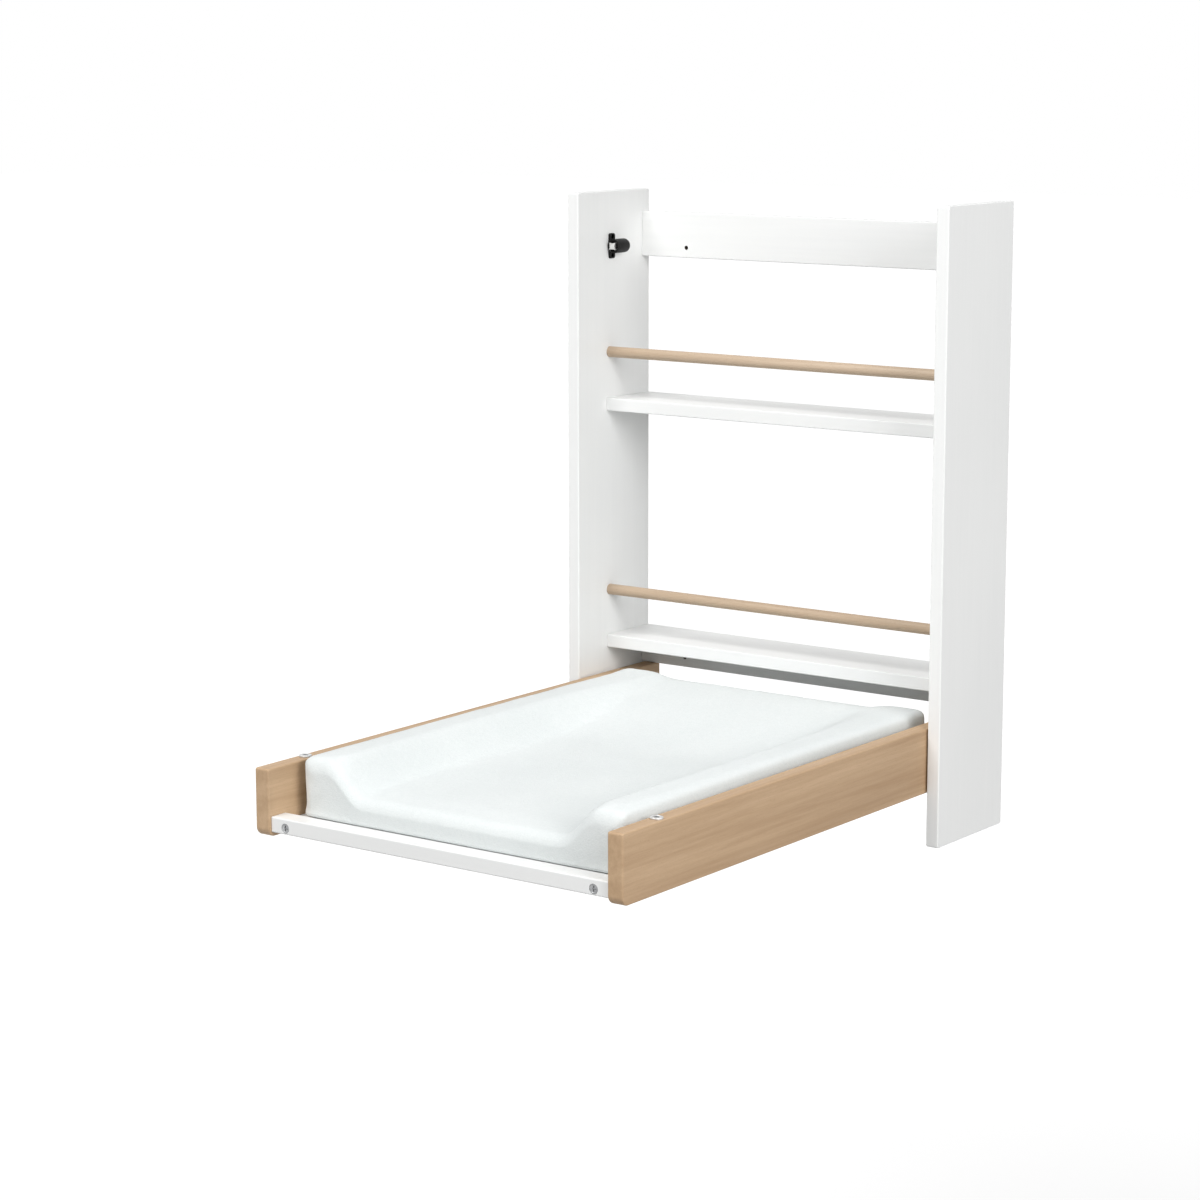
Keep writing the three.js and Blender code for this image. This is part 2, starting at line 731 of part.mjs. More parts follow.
const bolsters = alongMinusY(matCrossSection(), matBack, matLength);
const headRest = alongX(matRearSection(), -matHalf, 2 * matHalf);
const sideLimit = alongX(matSideView(), -matHalf, 2 * matHalf);
const planLimit = solidOf(extruded(matPlan(), matBolsterHeight + fitGap).translate(0, 0, matFoot));
const mat = bolsters.add(headRest).intersect(sideLimit).intersect(planLimit);
addPiece(tray, "changing_mat", mat, whiteCloth);

export default root;
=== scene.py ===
import math

import bpy
from mathutils import Matrix, Vector


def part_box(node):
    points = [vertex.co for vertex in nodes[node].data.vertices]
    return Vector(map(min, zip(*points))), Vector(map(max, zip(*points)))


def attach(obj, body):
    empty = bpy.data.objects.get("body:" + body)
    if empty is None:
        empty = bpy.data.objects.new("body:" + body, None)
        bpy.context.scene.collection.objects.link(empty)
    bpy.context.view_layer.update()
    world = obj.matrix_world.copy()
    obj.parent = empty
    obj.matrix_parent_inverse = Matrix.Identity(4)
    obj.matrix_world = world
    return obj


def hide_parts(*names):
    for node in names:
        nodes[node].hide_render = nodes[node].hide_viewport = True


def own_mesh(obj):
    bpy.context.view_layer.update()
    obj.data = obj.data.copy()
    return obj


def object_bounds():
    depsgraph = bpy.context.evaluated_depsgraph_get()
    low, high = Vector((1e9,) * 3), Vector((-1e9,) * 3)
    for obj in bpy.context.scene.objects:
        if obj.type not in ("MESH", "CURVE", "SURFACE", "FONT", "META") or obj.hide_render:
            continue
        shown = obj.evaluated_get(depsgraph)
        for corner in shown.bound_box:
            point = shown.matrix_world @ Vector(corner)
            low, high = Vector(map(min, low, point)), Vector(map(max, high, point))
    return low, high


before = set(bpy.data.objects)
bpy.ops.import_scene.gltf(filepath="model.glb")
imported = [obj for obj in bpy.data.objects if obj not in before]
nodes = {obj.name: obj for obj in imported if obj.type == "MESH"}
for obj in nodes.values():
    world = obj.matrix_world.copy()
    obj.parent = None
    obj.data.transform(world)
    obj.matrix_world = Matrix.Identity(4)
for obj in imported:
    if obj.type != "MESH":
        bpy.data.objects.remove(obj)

cad_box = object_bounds()
millimetre = 0.001
quarter_turn = math.pi / 2
hands = ("left", "right")


# Camera
# A long lens to the right of the tray and a little above it. Its place, turn and lens were
# worked out from the corners of the panels, shelves and tray.
picture_pixels = 1200
sensor_width = 36
focal_pixels = 3141.1
centre_across = 620.8
centre_down = 591.7
camera_place = (2.29791, -3.62239, 0.27551)
camera_dip = math.radians(10.0685)
camera_turn = math.radians(35.9768)

bpy.ops.object.camera_add(location=camera_place, rotation=(quarter_turn - camera_dip, 0, camera_turn))
camera = bpy.context.object
camera.data.sensor_width = sensor_width
camera.data.lens = sensor_width * focal_pixels / picture_pixels
camera.data.shift_x = (picture_pixels / 2 - centre_across) / picture_pixels
camera.data.shift_y = (centre_down - picture_pixels / 2) / picture_pixels
bpy.context.scene.camera = camera
bpy.context.scene.view_settings.view_transform = "Standard"


# Studio
# A white floor well below the wall-hung frame, a plain white room, and two large soft lamps. The
# floor glows more with distance, which hides the horizon and keeps the shadow under the object.
white = (1, 1, 1, 1)
floor_drop = 0.85
floor_size = 60
floor_pale = (0.55, 0.55, 0.55, 1)
floor_seen = (0.30, 0.30, 0.30, 1)
floor_reach = (0.8, 3.2)
floor_glow = (0.78, 1.0)
room_light = 0.28
lamp_aim = (0, -0.4, -0.6)
front_lamp_place = (-0.8, -3.4, 3.6)
front_lamp_size = 3.2
front_lamp_power = 212
right_lamp_place = (3.6, -1.6, 1.0)
right_lamp_size = 2.2
right_lamp_power = 96


def add_node(tree, kind, **settings):
    node = tree.nodes.new(kind)
    for key, value in settings.items():
        setattr(node, key, value)
    return node


def joined(tree, operation, first, second):
    """One sum on two parts, each a socket or a number."""
    node = add_node(tree, "ShaderNodeMath", operation=operation)
    for socket, part in zip(node.inputs, (first, second)):
        if isinstance(part, (int, float)):
            socket.default_value = part
        else:
            tree.links.new(part, socket)
    return node.outputs[0]


def mapped(tree, value, source, target, **settings):
    """Carries a value from one range to another, and stays within it."""
    node = add_node(tree, "ShaderNodeMapRange", **settings)
    for socket, number in zip(node.inputs[1:5], (*source, *target)):
        socket.default_value = number
    tree.links.new(value, node.inputs[0])
    return node.outputs[0]


def seen_or_lit(tree, seen, lit):
    """One shader for rays from the camera, mirrors and glass, and another for all other light."""
    path = add_node(tree, "ShaderNodeLightPath")
    direct = joined(tree, "MAXIMUM", path.outputs["Is Camera Ray"], path.outputs["Is Glossy Ray"])
    direct = joined(tree, "MAXIMUM", direct, path.outputs["Is Transmission Ray"])
    chosen = add_node(tree, "ShaderNodeMixShader")
    for socket, part in zip(chosen.inputs, (direct, lit.outputs[0], seen.outputs[0])):
        tree.links.new(part, socket)
    return chosen.outputs[0]


def floor_material():
    material = bpy.data.materials.new("studio_floor")
    material.use_nodes = True
    tree = material.node_tree
    tree.nodes.clear()
    lit = add_node(tree, "ShaderNodeBsdfDiffuse")
    lit.inputs["Color"].default_value = floor_pale
    shaded = add_node(tree, "ShaderNodeBsdfDiffuse")
    shaded.inputs["Color"].default_value = floor_seen
    place = add_node(tree, "ShaderNodeTexCoord")
    away = add_node(tree, "ShaderNodeVectorMath", operation="LENGTH")
    tree.links.new(place.outputs["Object"], away.inputs[0])
    strength = mapped(tree, away.outputs["Value"], floor_reach, floor_glow,
                      interpolation_type="SMOOTHSTEP")
    glow = add_node(tree, "ShaderNodeEmission")
    tree.links.new(strength, glow.inputs["Strength"])
    lifted = add_node(tree, "ShaderNodeAddShader")
    tree.links.new(shaded.outputs[0], lifted.inputs[0])
    tree.links.new(glow.outputs[0], lifted.inputs[1])
    output = add_node(tree, "ShaderNodeOutputMaterial")
    tree.links.new(seen_or_lit(tree, lifted, lit), output.inputs["Surface"])
    return material


def white_room():
    world = bpy.data.worlds.new("white_room")
    world.use_nodes = True
    tree = world.node_tree
    tree.nodes.clear()
    lighting = add_node(tree, "ShaderNodeBackground")
    lighting.inputs["Strength"].default_value = room_light
    backdrop = add_node(tree, "ShaderNodeBackground")
    for shade in (lighting, backdrop):
        shade.inputs["Color"].default_value = white
    output = add_node(tree, "ShaderNodeOutputWorld")
    tree.links.new(seen_or_lit(tree, backdrop, lighting), output.inputs["Surface"])
    return world


def soft_lamp(name, place, size, power):
    bpy.ops.object.light_add(type="AREA", location=place)
    lamp = bpy.context.object
    lamp.name = name
    lamp.data.shape = "DISK"
    lamp.data.size = size
    lamp.data.energy = power
    lamp.rotation_euler = (Vector(lamp_aim) - Vector(place)).to_track_quat("-Z", "Y").to_euler()


bpy.ops.mesh.primitive_plane_add(size=floor_size, location=(0, 0, cad_box[0][2] - floor_drop))
floor = bpy.context.object
floor.name = "studio_floor"
floor.data.materials.append(floor_material())
bpy.context.scene.world = white_room()
soft_lamp("front_lamp", front_lamp_place, front_lamp_size, front_lamp_power)
soft_lamp("right_lamp", right_lamp_place, right_lamp_size, right_lamp_power)


# Side panels
# Two 18 mm boards, sprayed with a satin white lacquer after their edges were eased. They carry
# everything, and are drilled on their inner faces only.
lacquer_pale = (0.875, 0.880, 0.872, 1)
lacquer_deep = (0.845, 0.852, 0.846, 1)
# A noise is its cells to the metre along X, Y and Z, its detail and its roughness.
lacquer_clouding = ((3, 5, 5), 2, 0.5)
lacquer_grain = ((5, 190, 190), 3, 0.5)
lacquer_peel = ((420, 420, 420), 2, 0.5)
clouding_share = 0.6
grain_share = 0.4
lacquer_shades = (0.35, 0.65)
lacquer_unevenness = (0.7, 1.3)
lacquer_roughness = (0.34, 0.46)
grain_height = 0.5
# A relief is its strength and its depth.
lacquer_relief = (0.12, 0.3 * millimetre)
lacquer_specular = 0.42
grain_upright = (0, quarter_turn, 0)
none_to_all = (0, 1)
surface_inputs = [("Vector", "Vector"), ("Pale", "Color"), ("Deep", "Color")]
surface_outputs = [("Color", "Color"), ("Roughness", "Float"), ("Height", "Float")]


def start_group(name, inputs, outputs):
    group = bpy.data.node_groups.new(name, "ShaderNodeTree")
    for way, sockets in (("INPUT", inputs), ("OUTPUT", outputs)):
        for socket_name, kind in sockets:
            group.interface.new_socket(socket_name, in_out=way, socket_type="NodeSocket" + kind)
    return group, add_node(group, "NodeGroupInput"), add_node(group, "NodeGroupOutput")


def end_group(group, result, *values):
    """Links values to a group's outputs, in their order."""
    for value, socket in zip(values, result.inputs):
        group.links.new(value, socket)
    return group


def stretched_noise(tree, vector, cells, detail, roughness):
    """Noise with so many cells to the metre along X, Y and Z."""
    scaled = add_node(tree, "ShaderNodeVectorMath", operation="MULTIPLY")
    scaled.inputs[1].default_value = cells
    tree.links.new(vector, scaled.inputs[0])
    noise = add_node(tree, "ShaderNodeTexNoise")
    noise.inputs["Scale"].default_value = 1
    noise.inputs["Detail"].default_value = detail
    noise.inputs["Roughness"].default_value = roughness
    tree.links.new(scaled.outputs[0], noise.inputs["Vector"])
    return noise.outputs["Fac"]


def weighted_sum(tree, *parts):
    """Adds up values, each times its own weight."""
    weighted = [joined(tree, "MULTIPLY", value, weight) for value, weight in parts]
    total = weighted[0]
    for part in weighted[1:]:
        total = joined(tree, "ADD", total, part)
    return total


def blended(tree, amount, first, second):
    """Goes from one colour to another, each a socket or a constant."""
    node = add_node(tree, "ShaderNodeMix", data_type="RGBA")
    tree.links.new(amount, node.inputs["Factor"])
    colours = [socket for socket in node.inputs if socket.type == "RGBA"]
    for socket, part in zip(colours, (first, second)):
        if isinstance(part, tuple):
            socket.default_value = part
        else:
            tree.links.new(part, socket)
    return [socket for socket in node.outputs if socket.type == "RGBA"][0]


def sprayed_lacquer():
    """Faint board grain showing through the paint along X, soft clouding, and orange peel."""
    group, given, result = start_group("sprayed_lacquer", surface_inputs, surface_outputs)
    vector, pale, deep = given.outputs[:3]
    clouding = stretched_noise(group, vector, *lacquer_clouding)
    grain = stretched_noise(group, vector, *lacquer_grain)
    peel = stretched_noise(group, vector, *lacquer_peel)
    shade = weighted_sum(group, (clouding, clouding_share), (grain, grain_share))
    colour = blended(group, mapped(group, shade, lacquer_shades, none_to_all), pale, deep)
    rough = mapped(group, joined(group, "ADD", clouding, peel), lacquer_unevenness, lacquer_roughness)
    height = joined(group, "ADD", peel, joined(group, "MULTIPLY", grain, grain_height))
    return end_group(group, result, colour, rough, height)


def grouped_material(name, group, turn, colours, relief, **plain):
    """A material whose colour, roughness and relief come from a group on turned Object coordinates."""
    material = bpy.data.materials.new(name)
    material.use_nodes = True
    tree = material.node_tree
    shader = tree.nodes["Principled BSDF"]
    for key, value in plain.items():
        shader.inputs[key.replace("_", " ")].default_value = value
    place = add_node(tree, "ShaderNodeTexCoord")
    mapping = add_node(tree, "ShaderNodeMapping")
    mapping.inputs["Rotation"].default_value = turn
    tree.links.new(place.outputs["Object"], mapping.inputs["Vector"])
    skin = add_node(tree, "ShaderNodeGroup", node_tree=group)
    tree.links.new(mapping.outputs[0], skin.inputs["Vector"])
    for key, value in colours.items():
        skin.inputs[key].default_value = value
    tree.links.new(skin.outputs["Color"], shader.inputs["Base Color"])
    tree.links.new(skin.outputs["Roughness"], shader.inputs["Roughness"])
    bump = add_node(tree, "ShaderNodeBump")
    for key, value in zip(("Strength", "Distance"), relief):
        bump.inputs[key].default_value = value
    tree.links.new(skin.outputs["Height"], bump.inputs["Height"])
    tree.links.new(bump.outputs[0], shader.inputs["Normal"])
    return material


lacquer_group = sprayed_lacquer()


def lacquer(name, turn):
    colours = {"Pale": lacquer_pale, "Deep": lacquer_deep}
    return grouped_material(name, lacquer_group, turn, colours, lacquer_relief,
                            Specular_IOR_Level=lacquer_specular)


def dress(material, *names):
    """Gives CAD nodes their material."""
    for name in names:
        for slot in nodes[name].material_slots:
            slot.material = material


dress(lacquer("lacquer_upright", grain_upright), "left_side_panel", "right_side_panel")


# Rails and shelves
# The same lacquered board, sawn across: a rail at the top, one under the lower shelf, and two
# shelves, all drawn against the panels by cam connectors. The wall holes show raw fibreboard,
# painted far darker than bare board as painted shade inside them.
# Raw fibreboard made much darker than bare board: painted shade for the inside of the wall holes.
raw_board_and_shade_pale = (0.115, 0.082, 0.056, 1)
raw_board_and_shade_deep = (0.070, 0.048, 0.032, 1)
raw_board_fibres = ((1400, 900, 1400), 2, 0.5)
wall_hole_across = 206 * millimetre
wall_hole_heights = (-17.5 * millimetre, -598.5 * millimetre)
wall_hole_reach = 3.2 * millimetre
rail_face = -17.6 * millimetre
grain_along_x = (0, 0, 0)


def drilled_holes():
    """One inside the rails' wall holes and zero elsewhere."""
    group, given, result = start_group("drilled_holes", [("Vector", "Vector")], [("Mask", "Float")])
    place = add_node(group, "ShaderNodeSeparateXYZ")
    group.links.new(given.outputs["Vector"], place.inputs[0])
    aside = joined(group, "SUBTRACT", joined(group, "ABSOLUTE", place.outputs["X"], 0), wall_hole_across)
    masks = []
    for height in wall_hole_heights:
        rise = joined(group, "SUBTRACT", place.outputs["Z"], height)
        square = joined(group, "ADD", joined(group, "POWER", aside, 2), joined(group, "POWER", rise, 2))
        masks.append(joined(group, "LESS_THAN", square, wall_hole_reach ** 2))
    behind_face = joined(group, "GREATER_THAN", place.outputs["Y"], rail_face)
    hole = joined(group, "MULTIPLY", joined(group, "MAXIMUM", *masks), behind_face)
    return end_group(group, result, hole)


def drilled(material):
    """Paints the wall holes of a lacquered material in raw fibreboard darkened with painted shade."""
    tree = material.node_tree
    place = add_node(tree, "ShaderNodeTexCoord")
    holes = add_node(tree, "ShaderNodeGroup", node_tree=drilled_holes())
    tree.links.new(place.outputs["Object"], holes.inputs["Vector"])
    fibres = stretched_noise(tree, place.outputs["Object"], *raw_board_fibres)
    # Raw fibreboard with painted shade, laid over the paint inside the holes.
    hole_colour = blended(tree, fibres, raw_board_and_shade_pale, raw_board_and_shade_deep)
    colour = tree.nodes["Principled BSDF"].inputs["Base Color"]
    paint = colour.links[0].from_socket
    tree.links.new(blended(tree, holes.outputs["Mask"], paint, hole_colour), colour)
    return material


lacquer_across = lacquer("lacquer_across", grain_along_x)
dress(lacquer_across, "upper_shelf", "lower_shelf")
dress(drilled(lacquer("lacquer_drilled", grain_along_x)), "top_wall_rail", "bottom_wall_rail")


# Dowel rails
# A 15 mm beech rod guards the front of each shelf. It is turned, its ends are chamfered, and it
# is let into blind sockets in the two panels.
dowel_pale = (0.600, 0.470, 0.345, 1)
dowel_deep = (0.465, 0.345, 0.238, 1)
beech_fleck = (0.340, 0.215, 0.122, 1)
beech_tones = ((1.1, 17, 17), 2, 0.5)
beech_bands = ((2.2, 55, 55), 3, 0.55)
beech_streaks = ((6, 210, 210), 4, 0.6)
beech_fibres = ((45, 1500, 1500), 2, 0.5)
beech_rays = ((330, 2100, 2100), 1, 0.5)
tone_share = 0.36
band_share = 0.38
streak_share = 0.26
beech_shades = (0.38, 0.64)
fibre_shades = (0.35, 0.75)
fibre_strength = (0, 0.22)
ray_shades = (0.66, 0.74)
ray_strength = (0, 0.55)
ray_depth = 0.8
most_noise = (0.3, 0.7)
beech_roughness = (0.44, 0.58)
beech_relief = (0.25, 0.3 * millimetre)
beech_specular = 0.35
dowel_sides = 64
dowel_chamfer = 0.9 * millimetre
lying_along_x = (0, quarter_turn, 0)
# A face points along an axis when its normal has at least this share along it.
facing = 0.9
smooth_angle = math.radians(35)


def figured_beech():
    """Beech with its grain along X: wide tones, soft bands, fine fibres, and short dark rays."""
    inputs = surface_inputs + [("Fleck", "Color")]
    group, given, result = start_group("figured_beech", inputs, surface_outputs)
    vector, pale, deep, dark = given.outputs[:4]
    tones = stretched_noise(group, vector, *beech_tones)
    bands = stretched_noise(group, vector, *beech_bands)
    streaks = stretched_noise(group, vector, *beech_streaks)
    fibres = stretched_noise(group, vector, *beech_fibres)
    rays = stretched_noise(group, vector, *beech_rays)
    figure = weighted_sum(group, (bands, band_share), (streaks, streak_share), (tones, tone_share))
    timber = blended(group, mapped(group, figure, beech_shades, none_to_all), pale, deep)
    fibred = blended(group, mapped(group, fibres, fibre_shades, fibre_strength), timber, dark)
    fleck = mapped(group, rays, ray_shades, ray_strength)
    colour = blended(group, fleck, fibred, dark)
    rough = mapped(group, streaks, most_noise, beech_roughness)
    height = joined(group, "SUBTRACT", fibres, joined(group, "MULTIPLY", fleck, ray_depth))
    return end_group(group, result, colour, rough, height)


beech_group = figured_beech()


def beech(name, turn, pale, deep):
    colours = {"Pale": pale, "Deep": deep, "Fleck": beech_fleck}
    return grouped_material(name, beech_group, turn, colours, beech_relief,
                            Specular_IOR_Level=beech_specular)


def pick_only(piece):
    bpy.ops.object.select_all(action="DESELECT")
    piece.select_set(True)
    bpy.context.view_layer.objects.active = piece


def clear_picks(piece, kind):
    """Leaves nothing picked, ready for faces or for edges."""
    pick_only(piece)
    bpy.ops.object.mode_set(mode="EDIT")
    bpy.ops.mesh.select_mode(type=kind)
    bpy.ops.mesh.select_all(action="DESELECT")
    bpy.ops.object.mode_set(mode="OBJECT")


def pick_faces(piece, wanted):
    """Goes into edit mode with the faces picked whose normal is wanted."""
    clear_picks(piece, "FACE")
    for face in piece.data.polygons:
        face.select = wanted(face.normal)
    bpy.ops.object.mode_set(mode="EDIT")


def pick_edges(piece, wanted):
    """Goes into edit mode with the edges picked whose two ends are wanted."""
    clear_picks(piece, "EDGE")
    points = piece.data.vertices
    for edge in piece.data.edges:
        one, other = edge.vertices
        edge.select = wanted(points[one].co, points[other].co)
    bpy.ops.object.mode_set(mode="EDIT")


def bevel_picked(width, segments):
    """Rounds what is picked and leaves edit mode."""
    bpy.ops.mesh.bevel(offset=width, segments=segments, affect="EDGES")
    bpy.ops.object.mode_set(mode="OBJECT")


def cylinder(radius, length, sides, centre=(0, 0, 0), turn=(0, 0, 0)):
    """A closed cylinder along Z, turned and set about a centre."""
    bpy.ops.object.select_all(action="DESELECT")
    bpy.ops.mesh.primitive_cylinder_add(
        vertices=sides, radius=radius, depth=length, location=centre, rotation=turn)
    bpy.ops.object.transform_apply(location=True, rotation=True, scale=True)
    return bpy.context.object


def copy_of(piece, name, matrix):
    """A copy of a pattern with its place in its mesh."""
    twin = bpy.data.objects.new(name, piece.data.copy())
    bpy.context.scene.collection.objects.link(twin)
    twin.data.transform(matrix)
    return twin


def hand_over(piece, material, body, slot, *replaced):
    """Gives a finished piece its smooth shading, material and body, and hides the nodes it stands for.
    The slot argument is not used.
    """
    pick_only(piece)
    bpy.ops.object.shade_smooth_by_angle(angle=smooth_angle)
    piece.data.materials.clear()
    piece.data.materials.append(material)
    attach(piece, body)
    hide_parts(*replaced)


def middle(name):
    low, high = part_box(name)
    return (Vector(low) + Vector(high)) / 2


def span(name):
    low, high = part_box(name)
    return Vector(high) - Vector(low)


beech_along_rod = beech("beech_along_rod", grain_along_x, dowel_pale, dowel_deep)
dowel_size = span("upper_dowel_rail")
dowel = cylinder(dowel_size.z / 2, dowel_size.x, dowel_sides, turn=lying_along_x)
pick_faces(dowel, lambda normal: abs(normal.x) > facing)
bevel_picked(dowel_chamfer, segments=2)
for level in ("upper", "lower"):
    node = level + "_dowel_rail"
    rail = copy_of(dowel, level + "_beech_rail", Matrix.Translation(middle(node)))
    hand_over(rail, beech_along_rod, "wall_frame", "beech", node)
bpy.data.objects.remove(dowel)


# Cam connectors
# Each cross member is drawn up by a steel bolt in the board beside it and a cast zinc cam with a
# cross recess. Two cams show on the tray's front bar, the others are behind and underneath.
zinc_pale = (0.40, 0.405, 0.41, 1)
zinc_deep = (0.25, 0.255, 0.26, 1)
steel_pale = (0.72, 0.72, 0.715, 1)
steel_deep = (0.58, 0.58, 0.575, 1)
metal_patches = ((260, 260, 260), 3, 0.6)
metal_grit = ((2600, 2600, 2600), 2, 0.5)
metal_shades = (0.35, 0.7)
metal_roughness = (0.34, 0.52)
metal_relief = (0.2, 0.1 * millimetre)
cam_sides = 48
cam_radius = 6 * millimetre
cam_rim = 0.9 * millimetre
cam_dish = 0.3 * millimetre
cam_edge = 0.4 * millimetre
cam_pocket_sides = 32
cam_pocket_radius = 3.6 * millimetre
cam_face_to_bolt = 8.7 * millimetre
cross_length = 8 * millimetre
cross_width = 1.8 * millimetre
cross_depth = 1.4 * millimetre
cross_taper = 0.7
cross_overrun = 0.5 * millimetre
level_face = 0.99


def worked_metal():
    """Metal with a sandy cast or brushed skin, duller where it is darker."""
    group, given, result = start_group("worked_metal", surface_inputs, surface_outputs)
    vector, pale, deep = given.outputs[:3]
    patches = stretched_noise(group, vector, *metal_patches)
    grit = stretched_noise(group, vector, *metal_grit)
    colour = blended(group, mapped(group, patches, metal_shades, none_to_all), pale, deep)
    rough = mapped(group, patches, most_noise, metal_roughness)
    return end_group(group, result, colour, rough, joined(group, "ADD", grit, patches))


metal_group = worked_metal()


def metal(name, pale, deep):
    colours = {"Pale": pale, "Deep": deep}
    return grouped_material(name, metal_group, grain_along_x, colours, metal_relief, Metallic=1)


def apply_modifier(piece, kind, **settings):
    pick_only(piece)
    modifier = piece.modifiers.new(kind.lower(), kind)
    for key, value in settings.items():
        setattr(modifier, key, value)
    bpy.ops.object.modifier_apply(modifier=modifier.name)


def combine(piece, operation, other):
    """Takes a closed shape out of another or fuses it on, and throws it away."""
    apply_modifier(piece, "BOOLEAN", operation=operation, solver="EXACT", object=other)
    bpy.data.objects.remove(other)


def block(size, centre, turn=0):
    """A box of a size about a centre, turned about Z."""
    bpy.ops.object.select_all(action="DESELECT")
    bpy.ops.mesh.primitive_cube_add(size=1, location=centre, rotation=(0, 0, turn))
    bpy.context.object.scale = size
    bpy.ops.object.transform_apply(location=True, rotation=True, scale=True)
    return bpy.context.object


def narrow_picked(share):
    """Draws what is picked in towards the Z axis."""
    bpy.ops.transform.resize(value=(share, share, 1), center_override=(0, 0, 0))


def cross_recess(piece, length, width, depth, top):
    """Cuts two crossed slots into a face at a height, narrower towards their floor."""
    cut_depth = depth + cross_overrun
    for turn in (0, quarter_turn):
        bar = block((length, width, cut_depth), (0, 0, top + cross_overrun - cut_depth / 2), turn)
        pick_faces(bar, lambda normal: normal.z < -facing)
        narrow_picked(cross_taper)
        bpy.ops.object.mode_set(mode="OBJECT")
        combine(piece, "DIFFERENCE", bar)


def dish_picked(rim, depth):
    """Sinks what is picked inside a rim and leaves edit mode."""
    bpy.ops.mesh.inset(thickness=rim)
    bpy.ops.mesh.inset(thickness=depth, depth=-depth)
    bpy.ops.object.mode_set(mode="OBJECT")


def cam_head(depth):
    """A cam with its face up at zero height: a raised rim, a dished face and a cross recess."""
    cam = cylinder(cam_radius, depth, cam_sides, centre=(0, 0, -depth / 2))
    pick_faces(cam, lambda normal: abs(normal.z) > facing)
    bevel_picked(cam_edge, segments=3)
    pick_faces(cam, lambda normal: normal.z > level_face)
    dish_picked(cam_rim, cam_dish)
    cross_recess(cam, cross_length, cross_width, cross_depth, -cam_dish)
    pocket_centre = (-cam_radius / 2, 0, -cam_face_to_bolt)
    pocket = cylinder(cam_pocket_radius, 2 * cam_radius, cam_pocket_sides, pocket_centre, lying_along_x)
    combine(cam, "DIFFERENCE", pocket)
    return cam


zinc = metal("cast_zinc", zinc_pale, zinc_deep)
steel = metal("turned_steel", steel_pale, steel_deep)
cam_members = {
    "top_wall_rail": ("wall_frame", Vector((0, 1, 0))),
    "bottom_wall_rail": ("wall_frame", Vector((0, 1, 0))),
    "upper_shelf": ("wall_frame", Vector((0, 0, -1))),
    "lower_shelf": ("wall_frame", Vector((0, 0, -1))),
    "tray_front_bar": ("tray", Vector((0, -1, 0))),
    "tray_rear_bar": ("tray", Vector((0, 1, 0))),
}
cam_thickness = min(span("tray_front_bar_left_cam_nut"))
cam_pattern = cam_head(cam_thickness)
for member, (body, outward) in cam_members.items():
    for hand, inward in zip(hands, (Vector((1, 0, 0)), Vector((-1, 0, 0)))):
        name = member + "_" + hand + "_cam"
        place = middle(name + "_nut") + outward * cam_thickness / 2
        axes = Matrix((inward, outward.cross(inward), outward)).transposed().to_4x4()
        cam = copy_of(cam_pattern, name, Matrix.Translation(place) @ axes)
        hand_over(cam, zinc, body, "zinc", name + "_nut")
        dress(steel, name + "_bolt")
bpy.data.objects.remove(cam_pattern)


# Push catches
# A black moulded barrel on each panel's inner face, held by two countersunk screws through its
# ears. A sprung plunger with a square, hollow-sided magnet tip sits in its mouth.
plastic_pale = (0.0060, 0.0060, 0.0062, 1)
plastic_deep = (0.0035, 0.0035, 0.0037, 1)
plastic_specular = 0.2
plastic_flow = ((140, 140, 140), 2, 0.5)
plastic_texture = ((2400, 2400, 2400), 2, 0.5)
plastic_roughness = (0.40, 0.52)
plastic_relief = (0.15, 0.1 * millimetre)
black_steel_pale = (0.035, 0.035, 0.036, 1)
black_steel_deep = (0.020, 0.020, 0.021, 1)
plated_pale = (0.86, 0.86, 0.85, 1)
plated_deep = (0.76, 0.76, 0.75, 1)
barrel_sides = 64
barrel_radius = 9.75 * millimetre
barrel_length = 31 * millimetre
barrel_end_radius = 7 * millimetre
barrel_lip = 0.6 * millimetre
mouth_radius = 7.1 * millimetre
mouth_depth = 3.8 * millimetre
stem_bore_radius = 3.3 * millimetre
stem_bore_depth = 15 * millimetre
ear_height = 34.6 * millimetre
ear_width = 12 * millimetre
ear_thickness = 3 * millimetre
ear_setback = 2 * millimetre
ear_corner = 3 * millimetre
ear_edge = 0.5 * millimetre
ear_screw_inset = 4 * millimetre
catch_screw_head = 5.6 * millimetre
catch_screw_shank = 3 * millimetre
catch_screw_length = 14 * millimetre
catch_screw_room = 0.3 * millimetre
screw_sides = 40
screw_cheek = 0.3 * millimetre
screw_point_share = 0.15
recess_length_share = 0.62
recess_width_share = 0.18
recess_depth_share = 0.24
tip_size = 9.6 * millimetre
tip_thickness = 3.5 * millimetre
tip_hollow = 0.7 * millimetre
tip_hollow_sides = 96
tip_edge = 0.35 * millimetre
stem_sides = 40
stem_radius = 3 * millimetre
stem_length = 15 * millimetre
lying_along_y = (quarter_turn, 0, 0)
tiny = 0.001 * millimetre


def moulded_plastic():
    """Plastic with a fine spark-eroded texture and a slightly uneven gloss."""
    group, given, result = start_group("moulded_plastic", surface_inputs, surface_outputs)
    vector, pale, deep = given.outputs[:3]
    flow = stretched_noise(group, vector, *plastic_flow)
    texture = stretched_noise(group, vector, *plastic_texture)
    colour = blended(group, mapped(group, flow, most_noise, none_to_all), pale, deep)
    rough = mapped(group, flow, most_noise, plastic_roughness)
    return end_group(group, result, colour, rough, texture)


plastic_group = moulded_plastic()


def plastic(name, pale, deep, specular):
    colours = {"Pale": pale, "Deep": deep}
    return grouped_material(name, plastic_group, grain_along_x, colours, plastic_relief,
                            Specular_IOR_Level=specular)


def rod_along_y(radius, front, back, sides):
    return cylinder(radius, back - front, sides, (0, (front + back) / 2, 0), turn=lying_along_y)


